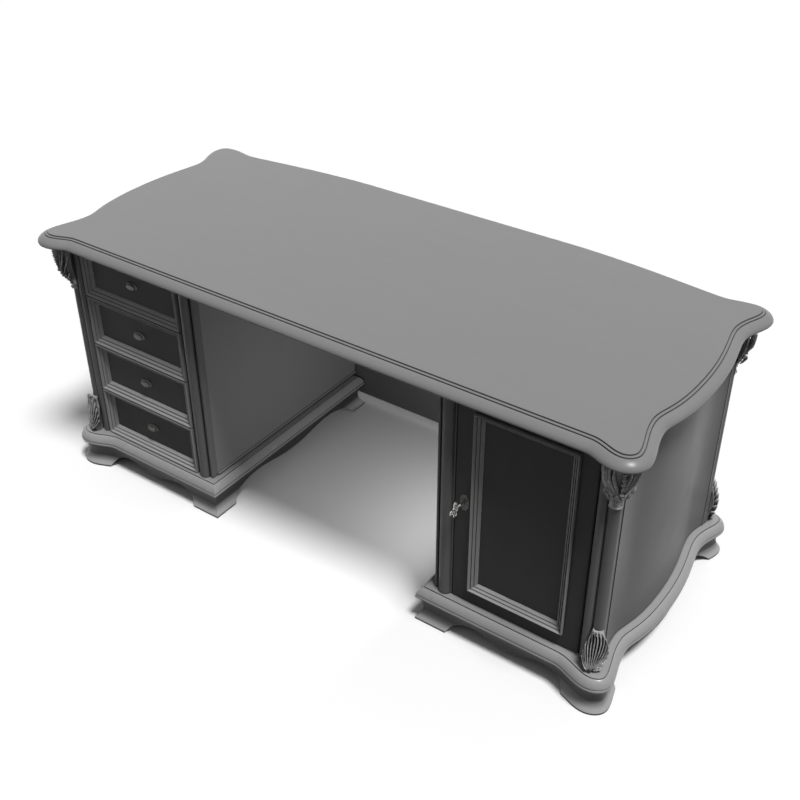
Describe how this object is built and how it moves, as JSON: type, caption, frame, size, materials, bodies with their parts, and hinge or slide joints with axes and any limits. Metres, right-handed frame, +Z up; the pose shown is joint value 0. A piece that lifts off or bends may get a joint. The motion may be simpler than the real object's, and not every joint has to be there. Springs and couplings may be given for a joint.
{
  "type": "pedestal writing desk",
  "caption": "Writing desk with a serpentine moulded top on two pedestals: sliding drawers at one side, a lockable cupboard at the other, scalloped bracket feet and carved corbels.",
  "frame": {"origin": "on the floor under the middle of the desktop's plan box", "axes": "+Z up, +X to the sitter's right along the desk's length, +Y away from the sitter"},
  "size_m": [1.849, 0.8283, 0.78],
  "materials": {
    "desktop_lacquer": "satin grey lacquer over fine grain",
    "trim_lacquer": "satin grey lacquer on mouldings and carving",
    "case_lacquer": "satin mid-grey lacquer",
    "front_lacquer": "satin graphite lacquer",
    "inside_wood": "plain grey-washed timber",
    "pewter": "cast pewter, polished on its high points",
    "steel": "plain steel"
  },
  "bodies": {
    "desk": {"desktop": "desktop_lacquer", "modesty_panel": "case_lacquer", "top_screws": "steel", "left_plinth": "trim_lacquer", "left_base_frame": "trim_lacquer", "left_outer_side": "case_lacquer", "left_inner_side": "case_lacquer", "left_back": "case_lacquer", "left_bottom_board": "inside_wood", "left_top_rails": "inside_wood", "left_outer_post": "trim_lacquer", "left_inner_post": "trim_lacquer", "left_rear_post": "trim_lacquer", "right_plinth": "trim_lacquer", "right_base_frame": "trim_lacquer", "right_outer_side": "case_lacquer", "right_inner_side": "case_lacquer", "right_back": "case_lacquer", "right_bottom_board": "inside_wood", "right_top_rails": "inside_wood", "right_outer_post": "trim_lacquer", "right_inner_post": "trim_lacquer", "right_rear_post": "trim_lacquer", "drawer_runners": "inside_wood", "drawer_rails": "inside_wood", "shelf": "inside_wood", "shelf_pins": "steel", "case_pivots": "steel", "left_front_corbel": "trim_lacquer", "left_rear_corbel": "trim_lacquer", "right_front_corbel": "trim_lacquer", "right_rear_corbel": "trim_lacquer", "left_front_leaf": "trim_lacquer", "left_rear_leaf": "trim_lacquer", "right_front_leaf": "trim_lacquer", "right_rear_leaf": "trim_lacquer"},
    "drawer_1": {"drawer_1_front": "front_lacquer", "drawer_1_box": "inside_wood", "drawer_1_bottom": "inside_wood", "drawer_1_pull": "pewter"},
    "drawer_2": {"drawer_2_front": "front_lacquer", "drawer_2_box": "inside_wood", "drawer_2_bottom": "inside_wood", "drawer_2_pull": "pewter"},
    "drawer_3": {"drawer_3_front": "front_lacquer", "drawer_3_box": "inside_wood", "drawer_3_bottom": "inside_wood", "drawer_3_pull": "pewter"},
    "drawer_4": {"drawer_4_front": "front_lacquer", "drawer_4_box": "inside_wood", "drawer_4_bottom": "inside_wood", "drawer_4_pull": "pewter"},
    "door": {"door_frame": "front_lacquer", "door_panel": "front_lacquer", "door_moulding": "trim_lacquer", "door_pivot_bushes": "steel", "lock_case": "steel", "escutcheon": "pewter"},
    "key": {"key": "pewter"},
    "bolt": {"lock_bolt": "steel"}
  },
  "joints": [
    {"name": "drawer_1_slide", "type": "slide", "parent": "desk", "child": "drawer_1", "axis": [0, -1, 0], "range_m": [0, 0.4]},
    {"name": "drawer_2_slide", "type": "slide", "parent": "desk", "child": "drawer_2", "axis": [0, -1, 0], "range_m": [0, 0.4]},
    {"name": "drawer_3_slide", "type": "slide", "parent": "desk", "child": "drawer_3", "axis": [0, -1, 0], "range_m": [0, 0.4]},
    {"name": "drawer_4_slide", "type": "slide", "parent": "desk", "child": "drawer_4", "axis": [0, -1, 0], "range_m": [0, 0.4]},
    {"name": "door_hinge", "type": "hinge", "parent": "desk", "child": "door", "pos_m": [0.8, -0.33, 0.429], "axis": [0, 0, 1], "range_deg": [0, 90]},
    {"name": "key_turn", "type": "hinge", "parent": "door", "child": "key", "pos_m": [0.469, -0.31, 0.434], "axis": [0, 1, 0], "range_deg": [0, 90]},
    {"name": "bolt_slide", "type": "slide", "parent": "door", "child": "bolt", "axis": [-1, 0, 0], "range_m": [0, 0.01]}
  ],
  "couplings": [
    {"joint": "key_turn", "follows": "bolt_slide", "rad_per_m": 157.07}
  ]
}
